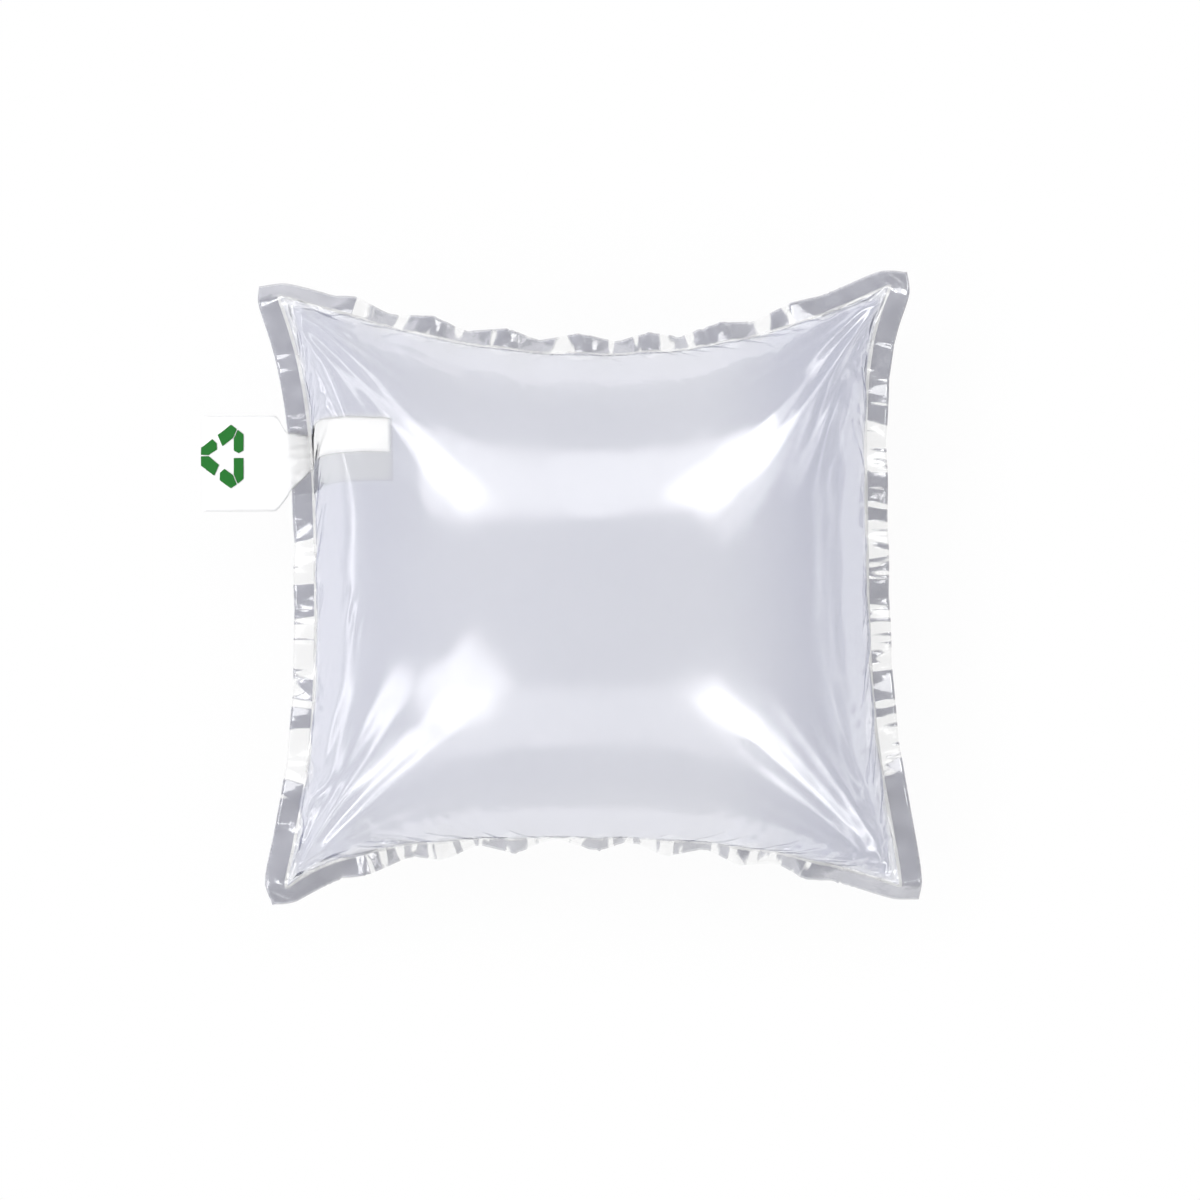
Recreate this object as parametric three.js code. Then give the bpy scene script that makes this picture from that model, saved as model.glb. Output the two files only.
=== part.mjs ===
// An inflated cushion bag that fills the empty space in a shipping box. Two clear films are welded
// together round all four sides, and a flat one-way valve of two thinner films is let into the weld
// of the left side, with a tab outside for the air nozzle and a sleeve inside that air pressure shuts.
//
// Millimetres, +Z up. The filled bag lies on its back, +X to its right and +Y to its top side. The
// origin is the middle of the small flat where the back film touches the ground.

import * as THREE from "three";

// The bag laid flat, before it is filled
const CHAMBER_WIDTH = 280;
const CHAMBER_HEIGHT = 260;
const WELD_WIDTH = 10;

// The filled bag: the corners of the air chamber in plan, and its two heights
const TOP_LEFT = new THREE.Vector2(-128.9, 123.1);
const TOP_RIGHT = new THREE.Vector2(126.8, 127.3);
const BOTTOM_LEFT = new THREE.Vector2(-126.0, -124.7);
const BOTTOM_RIGHT = new THREE.Vector2(131.0, -123.7);
const WELD_LEVEL = 55; // height of the weld over the ground
const DOME_RISE = 57; // how far each film swells from the weld

// How the filled film draws each side in, and gathers its weld. t runs along a side, from left to
// right or from bottom to top. A side is drawn in by sag at most, at the fraction called deepest, and
// a higher power makes its middle straighter. Its tucks lie between the two fractions of gather, and
// curl is how far the welded band turns back at the middle of the side, in radians.
const TOP = { sag: 27.0, power: 2.1, deepest: 0.54, gather: [0.08, 0.88], tucks: 13, curl: 0.7, seed: 3 };
const BOTTOM = { sag: 20.5, power: 2.8, deepest: 0.43, gather: [0.1, 0.9], tucks: 13, curl: 0.95, seed: 17 };
const LEFT = { sag: 14.3, power: 3.0, deepest: 0.54, gather: [0.12, 0.62], tucks: 8, curl: 0, seed: 31 };
const RIGHT = { sag: 11.8, power: 4.0, deepest: 0.6, gather: [0.14, 0.84], tucks: 11, curl: 0.15, seed: 43 };

// A tuck is a small fold across the weld that runs a little way into the dome
const TUCK_LIFT = 1.3; // how far it lifts the weld line
const TUCK_FLARE = 0.4; // how far it turns the welded band up or down, in radians
const TUCK_DEPTH = 1.4; // how deep its fold in the dome is
const TUCK_REACH = 9; // how far from the weld the fold is deepest
const LIFT_REACH = 12; // how far from the weld the lift dies away

// Creases fan out from each corner of the chamber over the dome
const CREASES = 4;
const CREASE_DEPTH = 1.3;
const CREASE_LENGTH = 90;
const CREASE_HALF_ANGLE = 0.17;

// Films. Real film is under 0.1 mm thick, and is drawn thicker so that it is a solid.
const FILM = 0.3;
const GAP = 0.3; // between films that touch
const PLY = FILM + GAP; // from the middle of one film to the middle of the next

// Valve
const VALVE_CENTRE = 54; // Y of its centreline where it leaves the bag
const TAB_WIDTH = 41;
const TAB_LENGTH = 37; // outside the welded band
const SHOULDER = 7; // length over which the tab narrows to the sleeve
const SLEEVE_WIDTH = 27;
const SLEEVE_LENGTH = 56; // inside the chamber
const SLEEVE_SLACK = 1.3; // how far the sleeve hangs free under the front film
const MOUTH_OPENING = 1.1; // how far each film stands back from the middle of the tab's mouth
const TAB_DROOP = 4;

// Mesh: how many points each square ring has along one side, from the rim inwards
const BAND_RINGS = [WELD_WIDTH, WELD_WIDTH / 2]; // distances outside the weld line
const DOME_RINGS = [1, 0.975, 0.94, 0.89, 0.83, 0.75, 0.65, 0.54, 0.42, 0.3, 0.19]; // shares of the chamber
const FINE = 44;
const MIDDLE_FROM = 0.8;
const COARSE_FROM = 0.5;
const VALVE_STEPS = 29;
const VALVE_COLUMNS = 6;
const FINE_STEP = CHAMBER_HEIGHT / FINE;

const PLASTIC = {
  film: { color: 0xd5d7e2, roughness: 0.12, metalness: 0, transparent: true, opacity: 0.45 },
  valve: { color: 0xfbfbfc, roughness: 0.35, metalness: 0, transparent: true, opacity: 0.85 },
};

const halfWidth = CHAMBER_WIDTH / 2;
const halfHeight = CHAMBER_HEIGHT / 2;
const halfTurn = Math.PI / 2;
const clamp = THREE.MathUtils.clamp;
const mix = THREE.MathUtils.lerp;
const smooth = THREE.MathUtils.smoothstep;
const V2 = THREE.Vector2;
const V3 = THREE.Vector3;
const UP = new V3(0, 0, 1);

// A repeatable number from 0 to 1 for each whole number.
function chance(n) {
  const x = Math.sin(n * 127.1 + 311.7) * 43758.5453;
  return x - Math.floor(x);
}

// A round bump: 1 at x = 0, and 0 where x is 1 or more either way.
function bump(x) {
  return Math.cos(halfTurn * clamp(Math.abs(x), 0, 1)) ** 2;
}

// The weld lines in plan

function drawnIn(side, t) {
  const w = clamp(t, 0, 1) ** (Math.log(0.5) / Math.log(side.deepest));
  return side.sag * (1 - Math.abs(2 * w - 1) ** side.power);
}

function weldLine(side, from, to, inward) {
  return (t) => new V2().lerpVectors(from, to, t).addScaledVector(inward, drawnIn(side, t));
}

const topLine = weldLine(TOP, TOP_LEFT, TOP_RIGHT, new V2(0, -1));
const bottomLine = weldLine(BOTTOM, BOTTOM_LEFT, BOTTOM_RIGHT, new V2(0, 1));
const leftLine = weldLine(LEFT, BOTTOM_LEFT, TOP_LEFT, new V2(1, 0));
const rightLine = weldLine(RIGHT, BOTTOM_RIGHT, TOP_RIGHT, new V2(-1, 0));

// A unit vector in plan, square to a weld line and away from the chamber. turn is 1 if the chamber
// lies to the left of the line's own direction, and -1 if it lies to the right.
function outward(line, t, turn) {
  const step = 0.01;
  const along = line(t + step).sub(line(t - step));
  return new V2(along.y, -along.x).multiplyScalar(turn).normalize();
}

// The filled shape. Places on the films are given as a and b: how far right and up they are from the
// middle of the bag when it lies flat.

const halfChordX = (rightLine(0.5).x - leftLine(0.5).x) / 2;
const halfChordY = (topLine(0.5).y - bottomLine(0.5).y) / 2;

function inPlan(u, v) {
  const s = (u + 1) / 2;
  const t = (v + 1) / 2;
  return bottomLine(s).multiplyScalar(1 - t)
    .addScaledVector(topLine(s), t)
    .addScaledVector(leftLine(t), 1 - s)
    .addScaledVector(rightLine(t), s)
    .addScaledVector(BOTTOM_LEFT, -(1 - s) * (1 - t))
    .addScaledVector(BOTTOM_RIGHT, -s * (1 - t))
    .addScaledVector(TOP_LEFT, -(1 - s) * t)
    .addScaledVector(TOP_RIGHT, -s * t);
}

// Where a point of the film lies on its arch, as an angle of an ellipse: 0 over the middle of the bag
// and a quarter turn at the weld. Film hardly stretches, so equal lengths of it stay nearly equal.
function archAngle(x, halfLength, halfChord) {
  const start = halfLength / halfChord;
  const rest = halfTurn - start;
  const power = (halfLength / DOME_RISE - start) / rest;
  const share = clamp(Math.abs(x) / halfLength, 0, 1);
  return Math.sign(x) * (start * share + rest * share ** power);
}

// The smooth dome, with no folds. face is 1 for the front film and -1 for the back film.
function dome(a, b, face) {
  const flatU = clamp(a / halfWidth, -1, 1);
  const flatV = clamp(b / halfHeight, -1, 1);
  const angleA = archAngle(a, halfWidth, halfChordX);
  const angleB = archAngle(b, halfHeight, halfChordY);
  const u = mix(flatU, Math.sin(angleA), Math.sqrt(1 - flatV ** 2));
  const v = mix(flatV, Math.sin(angleB), Math.sqrt(1 - flatU ** 2));
  const plan = inPlan(u, v);
  return new V3(plan.x, plan.y, WELD_LEVEL + face * DOME_RISE * Math.cos(angleA) * Math.cos(angleB));
}

// The four sides as seen from a place: how far inside each weld line it is, and where along it.
function sidesNear(a, b) {
  const s = (clamp(a / halfWidth, -1, 1) + 1) / 2;
  const t = (clamp(b / halfHeight, -1, 1) + 1) / 2;
  return [
    { side: TOP, line: topLine, turn: -1, along: s, inside: halfHeight - b },
    { side: BOTTOM, line: bottomLine, turn: 1, along: s, inside: halfHeight + b },
    { side: LEFT, line: leftLine, turn: -1, along: t, inside: halfWidth + a },
    { side: RIGHT, line: rightLine, turn: 1, along: t, inside: halfWidth - a },
  ];
}

// The tucks of a side as a wave along it, from -1 to 1.
function tucks(side, t) {
  const [from, to] = side.gather;
  const pitch = (to - from) / side.tucks;
  let wave = 0;
  for (let i = 0; i < side.tucks; i++) {
    const centre = from + pitch * (i + 0.5 + 0.4 * (chance(side.seed + i) - 0.5));
    const half = pitch * (0.6 + 0.3 * chance(side.seed + 100 + i));
    const depth = 0.55 + 0.45 * chance(side.seed + 200 + i);
    wave += (i % 2 ? -depth : depth) * bump((t - centre) / half);
  }
  return wave;
}

// How far the tucks lift the films, and how deep their folds in the dome are.
function tuckLift(a, b) {
  const lifts = sidesNear(a, b).map(
    ({ side, along, inside }) => tucks(side, along) * Math.exp(-Math.max(inside, 0) / LIFT_REACH),
  );
  return TUCK_LIFT * lifts.reduce((sum, lift) => sum + lift, 0);
}

function tuckFold(a, b) {
  const folds = sidesNear(a, b).map(({ side, along, inside }) => {
    const x = Math.max(inside, 0) / TUCK_REACH;
    return tucks(side, along) * x * Math.exp(1 - x);
  });
  return TUCK_DEPTH * folds.reduce((sum, fold) => sum + fold, 0);
}

// The ridges that fan out from the nearest corner of the chamber.
function creaseRidge(a, b) {
  const inX = halfWidth - Math.abs(a);
  const inY = halfHeight - Math.abs(b);
  const reach = Math.hypot(inX, inY);
  const angle = Math.atan2(inY, inX);
  const corner = (a > 0 ? 1 : 0) + (b > 0 ? 2 : 0);
  let ridge = 0;
  for (let i = 0; i < CREASES; i++) {
    const seed = 60 + 10 * corner + i;
    const centre = halfTurn * (0.12 + 0.76 * ((i + 0.5 + 0.3 * (chance(seed) - 0.5)) / CREASES));
    const length = CREASE_LENGTH * (0.7 + 0.5 * chance(seed + 5));
    const along = smooth(reach, 4, 30) * (1 - smooth(reach, 0.4 * length, length));
    ridge += along * bump((angle - centre) / CREASE_HALF_ANGLE);
  }
  return CREASE_DEPTH * ridge;
}

// A unit vector square to a surface at a place, on the side that its a and b turn to.
function squareTo(surface, a, b, step) {
  const alongA = surface(a + step, b).sub(surface(a - step, b));
  const alongB = surface(a, b + step).sub(surface(a, b - step));
  return alongA.cross(alongB).normalize();
}

// The middle of the welded band, outside the chamber, with its curl and the flare of its tucks.
function band(a, b) {
  const u = clamp(a / halfWidth, -1, 1);
  const v = clamp(b / halfHeight, -1, 1);
  const plan = inPlan(u, v);
  const point = new V3(plan.x, plan.y, WELD_LEVEL + tuckLift(a, b));
  for (const { side, line, turn, along, inside } of sidesNear(a, b)) {
    if (inside >= 0) continue;
    const tilt = TUCK_FLARE * tucks(side, along) - side.curl * bump(2 * along - 1);
    const out = outward(line, along, turn);
    point.x -= inside * Math.cos(tilt) * out.x;
    point.y -= inside * Math.cos(tilt) * out.y;
    point.z -= inside * Math.sin(tilt);
  }
  return point;
}

// How far each film stands off the weld's middle: half a ply, and one ply more where the valve passes.
function parting(a, b) {
  const y = leftLine((clamp(b / halfHeight, -1, 1) + 1) / 2).y;
  const aside = Math.abs(y - VALVE_CENTRE) - SLEEVE_WIDTH / 2;
  const passing = a < 0 ? 1 - smooth(aside, FINE_STEP, 3 * FINE_STEP) : 0;
  return PLY / 2 + PLY * passing;
}

// A point in the middle of a film's thickness.
function film(a, b, face) {
  const outside = Math.max(Math.abs(a) - halfWidth, Math.abs(b) - halfHeight);
  const fromBand = face * parting(a, b) * Math.exp(Math.min(outside, 0) / LIFT_REACH);
  const offBand = squareTo(band, a, b, 1).multiplyScalar(fromBand);
  if (outside > 0) return band(a, b).add(offBand);
  const smoothDome = (x, y) => dome(x, y, face);
  const out = squareTo(smoothDome, a, b, 1).multiplyScalar(face);
  return smoothDome(a, b)
    .addScaledVector(out, face * tuckFold(a, b) + creaseRidge(a, b))
    .addScaledVector(UP, tuckLift(a, b))
    .add(offBand);
}

// Solids

// A closed solid of even thickness round a sheet of points and the triangles between them. Its two
// skins lie half the thickness either way, and a wall joins them along every open edge.
function thicken(points, triangles) {
  const sheet = new THREE.BufferGeometry().setFromPoints(points).setIndex(triangles);
  sheet.computeVertexNormals();
  const normals = sheet.getAttribute("normal");
  const skin = (way) =>
    points.map((p, i) => {
      const q = p.clone().addScaledVector(new V3().fromBufferAttribute(normals, i), (way * FILM) / 2);
      return q.setZ(Math.max(q.z, 0));
    });
  const under = points.length;
  const faces = [...triangles];
  const edges = new Map();
  for (let i = 0; i < triangles.length; i += 3) {
    const [p, q, r] = triangles.slice(i, i + 3);
    faces.push(under + p, under + r, under + q);
    for (const [from, to] of [[p, q], [q, r], [r, p]]) edges.set(`${from} ${to}`, [from, to]);
  }
  for (const [from, to] of edges.values()) {
    if (edges.has(`${to} ${from}`)) continue;
    faces.push(from, under + from, under + to, from, under + to, to);
  }
  return new THREE.BufferGeometry().setFromPoints([...skin(1), ...skin(-1)]).setIndex(faces);
}

// Square rings of places on the flat bag, from the rim to the middle, with fewer points further in.
function bagNet() {
  const rings = [
    ...BAND_RINGS.map((over) => ({ u: 1 + over / halfWidth, v: 1 + over / halfHeight, count: FINE })),
    ...DOME_RINGS.map((share) => {
      const count = share > MIDDLE_FROM ? FINE : share > COARSE_FROM ? FINE / 2 : FINE / 4;
      return { u: share, v: share, count };
    }),
  ];
  const places = [];
  for (const ring of rings) {
    ring.start = places.length;
    const a = ring.u * halfWidth;
    const b = ring.v * halfHeight;
    const corners = [[-a, -b], [a, -b], [a, b], [-a, b]];
    for (let i = 0; i < 4 * ring.count; i++) {
      const side = Math.floor(i / ring.count);
      const share = (i % ring.count) / ring.count;
      const [from, to] = [corners[side], corners[(side + 1) % 4]];
      places.push([mix(from[0], to[0], share), mix(from[1], to[1], share)]);
    }
  }
  const triangles = [];
  for (let i = 0; i + 1 < rings.length; i++) {
    const [outer, inner] = [rings[i], rings[i + 1]];
    const outside = (k) => outer.start + (k % (4 * outer.count));
    const inside = (k) => inner.start + (k % (4 * inner.count));
    for (let k = 0; k < 4 * inner.count; k++) {
      const [p, q] = [inside(k), inside(k + 1)];
      if (outer.count === inner.count) triangles.push(outside(k), outside(k + 1), q, outside(k), q, p);
      else {
        const [x, y, z] = [outside(2 * k), outside(2 * k + 1), outside(2 * k + 2)];
        triangles.push(x, y, p, y, q, p, y, z, q);
      }
    }
  }
  const last = rings.at(-1);
  const middle = places.push([0, 0]) - 1;
  for (let k = 0; k < 4 * last.count; k++) {
    triangles.push(middle, last.start + k, last.start + ((k + 1) % (4 * last.count)));
  }
  return { places, triangles };
}

const net = bagNet();

function bagFilm(face) {
  const points = net.places.map(([a, b]) => film(a, b, face));
  for (const p of points) p.z = Math.max(p.z, FILM / 2);
  return thicken(points, net.triangles);
}

// The valve. p runs along it from the weld line, inwards if positive, and q across it from -1 to 1.
// ply is 1 for its front film and 2 for its back film, counted from the bag's front film.
const valveB = (2 * (VALVE_CENTRE - BOTTOM_LEFT.y)) / (TOP_LEFT.y - BOTTOM_LEFT.y) - 1;

function sleevePoint(p, q, ply) {
  const front = (a, b) => film(a, b, 1);
  const a = p - halfWidth;
  const b = (valveB + (q * SLEEVE_WIDTH) / (TOP_LEFT.y - BOTTOM_LEFT.y)) * halfHeight;
  const turning = 1 + 0.35 * bump(p / 4);
  const depth = ply * PLY * turning + SLEEVE_SLACK * smooth(p, 3, 25);
  return front(a, b).addScaledVector(squareTo(front, a, b, 2), -depth);
}

function tabPoint(p, q, ply) {
  const root = sleevePoint(-WELD_WIDTH, q, ply);
  const out = -WELD_WIDTH - p;
  const share = out / TAB_LENGTH;
  const spread = mix(1, TAB_WIDTH / SLEEVE_WIDTH, smooth(out, 0, SHOULDER));
  const opening = (ply === 1 ? 1 : -1) * MOUTH_OPENING * (1 - q * q);
  return new V3(
    root.x - out,
    VALVE_CENTRE + (root.y - VALVE_CENTRE) * spread,
    root.z + (opening - TAB_DROOP) * share ** 2,
  );
}

function valveFilm(ply) {
  const outer = WELD_WIDTH + TAB_LENGTH;
  const weldStep = Math.round((VALVE_STEPS * outer) / (outer + SLEEVE_LENGTH));
  const points = [];
  const triangles = [];
  for (let i = 0; i <= VALVE_STEPS; i++) {
    const inwards = i > weldStep;
    const share = inwards ? (i - weldStep) / (VALVE_STEPS - weldStep) : 1 - i / weldStep;
    const p = inwards ? share * SLEEVE_LENGTH : -share * outer;
    for (let j = 0; j <= VALVE_COLUMNS; j++) {
      const q = (2 * j) / VALVE_COLUMNS - 1;
      points.push(p < -WELD_WIDTH ? tabPoint(p, q, ply) : sleevePoint(p, q, ply));
      if (i === 0 || j === 0) continue;
      const [here, before] = [i * (VALVE_COLUMNS + 1) + j, (i - 1) * (VALVE_COLUMNS + 1) + j];
      triangles.push(before - 1, here - 1, here, before - 1, here, before);
    }
  }
  return thicken(points, triangles);
}

// The bag

function named(name, geometry, finish) {
  const mesh = new THREE.Mesh(geometry, new THREE.MeshStandardMaterial(finish));
  mesh.name = name;
  return mesh;
}

const bag = new THREE.Group();
bag.name = "inflated_cushion_bag";
bag.add(named("front_film", bagFilm(1), PLASTIC.film));
bag.add(named("back_film", bagFilm(-1), PLASTIC.film));
bag.add(named("valve_front_film", valveFilm(1), PLASTIC.valve));
bag.add(named("valve_back_film", valveFilm(2), PLASTIC.valve));

export default bag;
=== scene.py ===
import math
from types import SimpleNamespace

import bpy
import numpy as np
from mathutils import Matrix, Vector

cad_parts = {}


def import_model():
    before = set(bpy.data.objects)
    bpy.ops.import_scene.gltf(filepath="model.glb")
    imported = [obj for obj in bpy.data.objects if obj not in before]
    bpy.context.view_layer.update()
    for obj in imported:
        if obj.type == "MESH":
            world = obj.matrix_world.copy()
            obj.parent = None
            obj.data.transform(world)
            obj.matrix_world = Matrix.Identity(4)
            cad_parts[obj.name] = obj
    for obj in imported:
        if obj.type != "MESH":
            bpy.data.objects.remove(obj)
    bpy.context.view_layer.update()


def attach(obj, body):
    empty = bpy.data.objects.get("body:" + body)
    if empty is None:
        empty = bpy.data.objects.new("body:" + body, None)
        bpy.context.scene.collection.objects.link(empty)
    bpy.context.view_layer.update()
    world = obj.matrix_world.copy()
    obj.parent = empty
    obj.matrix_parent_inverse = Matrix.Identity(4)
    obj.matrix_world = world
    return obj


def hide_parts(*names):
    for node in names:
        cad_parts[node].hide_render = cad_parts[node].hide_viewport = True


# An inflated cushion bag: two clear films welded together round four sides, with a flat one-way
# valve let into the left side. Its shapes are worked out in millimetres and set down in metres.

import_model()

MM = 0.001


def plan(x, y):
    """A place in plan."""
    return np.array([x, y], dtype=float)


# The bag laid flat, before it is filled
CHAMBER_WIDTH = 280
CHAMBER_HEIGHT = 260
WELD_WIDTH = 10
HALF_WIDTH = CHAMBER_WIDTH / 2
HALF_HEIGHT = CHAMBER_HEIGHT / 2

# The filled bag: the corners of the air chamber in plan, and its two heights
TOP_LEFT = plan(-128.9, 123.1)
TOP_RIGHT = plan(126.8, 127.3)
BOTTOM_LEFT = plan(-126.0, -124.7)
BOTTOM_RIGHT = plan(131.0, -123.7)
WELD_LEVEL = 55
DOME_RISE = 57

# The four sides. t runs along a side from left to right or from bottom to top. A side is drawn in by
# sag at most, at the fraction called deepest. Its tucks lie between the two fractions of gather, and
# curl is how far the welded band turns back at the start, the middle and the end of the side, in
# radians. pleated is how much of the band is white pleats there, and pleat is about their width. The
# white of the pleats is partly stress-whitened film and partly painted glints.
TOP = SimpleNamespace(
    start=TOP_LEFT, end=TOP_RIGHT, inward=plan(0, -1), turn=-1,
    sag=27.0, power=2.1, deepest=0.54, gather=(0.08, 0.88), tucks=13, curl=(0.85, 0.7, 0.55), seed=3,
    pleated=0.50, pleat=9,
)
BOTTOM = SimpleNamespace(
    start=BOTTOM_LEFT, end=BOTTOM_RIGHT, inward=plan(0, 1), turn=1,
    sag=20.5, power=2.8, deepest=0.43, gather=(0.1, 0.9), tucks=13, curl=(0.5, 1.2, 0.8), seed=17,
    pleated=0.72, pleat=6,
)
LEFT = SimpleNamespace(
    start=BOTTOM_LEFT, end=TOP_LEFT, inward=plan(1, 0), turn=-1,
    sag=14.3, power=3.0, deepest=0.54, gather=(0.12, 0.62), tucks=8, curl=(0, 0, 0), seed=31,
    pleated=0.75, pleat=7,
)
RIGHT = SimpleNamespace(
    start=BOTTOM_RIGHT, end=TOP_RIGHT, inward=plan(-1, 0), turn=1,
    sag=11.8, power=4.0, deepest=0.6, gather=(0.14, 0.84), tucks=11, curl=(0, 0.15, 0), seed=43,
    pleated=0.66, pleat=5,
)

# Tucks across the weld. A tuck strays from its even place and has a half width, both in pitches of
# the tucks, and a height out of 1. A spread is what chance adds to the least of a value.
TUCK_LIFT = 1.3
TUCK_FLARE = 0.4
TUCK_DEPTH = 1.4
TUCK_REACH = 9
LIFT_REACH = 12
TUCK_STRAY = 0.4
TUCK_HALF, TUCK_HALF_SPREAD = 0.6, 0.3
TUCK_HEIGHT, TUCK_HEIGHT_SPREAD = 0.55, 0.45
HALF_SEED, HEIGHT_SEED = 100, 200

# Creases that fan out from each corner: they start at a share of the quarter turn there and spread
# over another share of it. Each is a share of CREASE_LENGTH long, rises within CREASE_RISE of the
# corner, and fades between two shares of its own length.
CREASES = 4
CREASE_DEPTH = 1.3
CREASE_LENGTH = 90
CREASE_HALF_ANGLE = 0.17
CREASES_FROM, CREASES_OVER = 0.12, 0.76
CREASE_STRAY = 0.3
CREASE_SHARE, CREASE_SHARE_SPREAD = 0.7, 0.5
CREASE_RISE, CREASE_FADE = (4, 30), (0.4, 1)
CREASE_SEED, LENGTH_SEED = 60, 5

# Fine folds beside them are two waves in the angle about the corner, FAN_WAVES to a radian, as high as
# FAN_SHARE of the distance from it. FAN_SECOND is the second wave's share of the first's height, and
# FAN_TURNS shifts the waves, so that no two corners are alike.
FAN_WAVES = (33, 57)
FAN_SECOND = 0.6
FAN_TURNS = (1.7, 0.9)
FAN_SHARE = 0.0022
FAN_RISE, FAN_FADE = (6, 30), (50, 125)
FAN_FROM_WELD = (0, 9)

# Films
FILM = 0.2
PLY = 0.6  # from the middle of one film to the middle of the next

# Valve
VALVE_CENTRE = 54
TAB_WIDTH = 41
TAB_LENGTH = 37
SHOULDER = 7
SLEEVE_WIDTH = 27
SLEEVE_LENGTH = 56
SLEEVE_SLACK = 1.3
SLACK_FROM = (3, 25)
SLEEVE_SWELL, SWELL_REACH = 0.35, 4  # how much further apart the plies lie at the weld line
MOUTH_OPENING = 1.1
TAB_DROOP = 4
MIDDLE_PLY = 1.5  # between the valve's films, whose plies are 1 and 2

# The net of the flat films: WELD_CELLS cells across the weld, and square cells everywhere
WELD_CELLS = 7
CELL = WELD_WIDTH / WELD_CELLS
TINY = 1e-9  # the least length that anything is divided by


# Curves used all over


def chance(n):
    """A repeatable number from 0 to 1 for each whole number."""
    x = np.sin(np.asarray(n) * 127.1 + 311.7) * 43758.5453
    return x - np.floor(x)


def bump(x):
    """A round bump: 1 at x = 0, and 0 where x is 1 or more either way."""
    return np.cos(np.pi / 2 * np.clip(np.abs(x), 0, 1)) ** 2


def smooth(x, low, high):
    """Rises from 0 at low to 1 at high, level at both ends."""
    s = np.clip((x - low) / (high - low), 0, 1)
    return s * s * (3 - 2 * s)


def mix(a, b, share):
    """The value that lies by a share on the way from a to b."""
    return a + (b - a) * share


def along_last(x):
    """The same array with one more axis, to multiply points by it."""
    return np.asarray(x, dtype=float)[..., None]


def unit(v):
    """The vectors of length 1 in the same directions."""
    return v / np.maximum(np.linalg.norm(v, axis=-1, keepdims=True), TINY)


# Places on the films are given as a and b: how far right and up they are from the middle of the bag
# when it lies flat.


def outside_weld(a, b):
    """How far a place lies outside the weld line, and less than 0 inside the chamber."""
    return np.maximum(np.abs(a) - HALF_WIDTH, np.abs(b) - HALF_HEIGHT)


def from_corner(a, b):
    """How far a place lies from the nearest corner of the chamber, and in what direction."""
    in_x = HALF_WIDTH - np.abs(a)
    in_y = HALF_HEIGHT - np.abs(b)
    return np.hypot(in_x, in_y), np.arctan2(in_y, in_x)


# The smooth filled shape


def weld_line(side, t):
    """A point of a side's weld line in plan: the straight line between its corners, drawn in by a
    rounded hump whose power makes the middle straighter."""
    w = np.clip(t, 0, 1) ** (math.log(0.5) / math.log(side.deepest))
    drawn = side.sag * (1 - np.abs(2 * w - 1) ** side.power)
    return side.start + (side.end - side.start) * along_last(t) + side.inward * along_last(drawn)


def outward(side, t):
    """A unit vector in plan, square to a weld line and away from the chamber."""
    step = 0.01
    along = weld_line(side, t + step) - weld_line(side, t - step)
    return unit(np.stack([along[..., 1], -along[..., 0]], axis=-1) * side.turn)


HALF_CHORD_X = float(weld_line(RIGHT, 0.5)[0] - weld_line(LEFT, 0.5)[0]) / 2
HALF_CHORD_Y = float(weld_line(TOP, 0.5)[1] - weld_line(BOTTOM, 0.5)[1]) / 2


def in_plan(u, v):
    """The patch between the four weld lines: opposite lines are blended, and the blend of the four
    corners is taken off."""
    s = (u + 1) / 2
    t = (v + 1) / 2
    left, right = along_last(1 - s), along_last(s)
    low, high = along_last(1 - t), along_last(t)
    lines = (
        low * weld_line(BOTTOM, s) + high * weld_line(TOP, s)
        + left * weld_line(LEFT, t) + right * weld_line(RIGHT, t)
    )
    corners = (
        left * low * BOTTOM_LEFT + right * low * BOTTOM_RIGHT
        + left * high * TOP_LEFT + right * high * TOP_RIGHT
    )
    return lines - corners


def arch_angle(x, half_length, half_chord):
    """Where a point of the film lies on its arch, as an angle of an ellipse: 0 over the middle of the
    bag and a quarter turn at the weld, so that equal lengths of film stay nearly equal."""
    start = half_length / half_chord
    rest = np.pi / 2 - start
    power = (half_length / DOME_RISE - start) / rest
    share = np.clip(np.abs(x) / half_length, 0, 1)
    return np.sign(x) * (start * share + rest * share ** power)


def dome(a, b, face):
    """The smooth dome of a film: in plan the patch between the weld lines, in height the product of
    two cosines of the arch angles. face is 1 for the front film and -1 for the back film."""
    flat_u = np.clip(a / HALF_WIDTH, -1, 1)
    flat_v = np.clip(b / HALF_HEIGHT, -1, 1)
    angle_a = arch_angle(a, HALF_WIDTH, HALF_CHORD_X)
    angle_b = arch_angle(b, HALF_HEIGHT, HALF_CHORD_Y)
    u = mix(flat_u, np.sin(angle_a), np.sqrt(1 - flat_v ** 2))
    v = mix(flat_v, np.sin(angle_b), np.sqrt(1 - flat_u ** 2))
    height = WELD_LEVEL + face * DOME_RISE * np.cos(angle_a) * np.cos(angle_b)
    return np.concatenate([in_plan(u, v), along_last(height)], axis=-1)


# Tucks and creases


def sides_near(a, b):
    """The four sides as seen from a place: how far along each, and how far inside its weld line."""
    s = (np.clip(a / HALF_WIDTH, -1, 1) + 1) / 2
    t = (np.clip(b / HALF_HEIGHT, -1, 1) + 1) / 2
    return [
        (TOP, s, HALF_HEIGHT - b),
        (BOTTOM, s, HALF_HEIGHT + b),
        (LEFT, t, HALF_WIDTH + a),
        (RIGHT, t, HALF_WIDTH - a),
    ]


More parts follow.
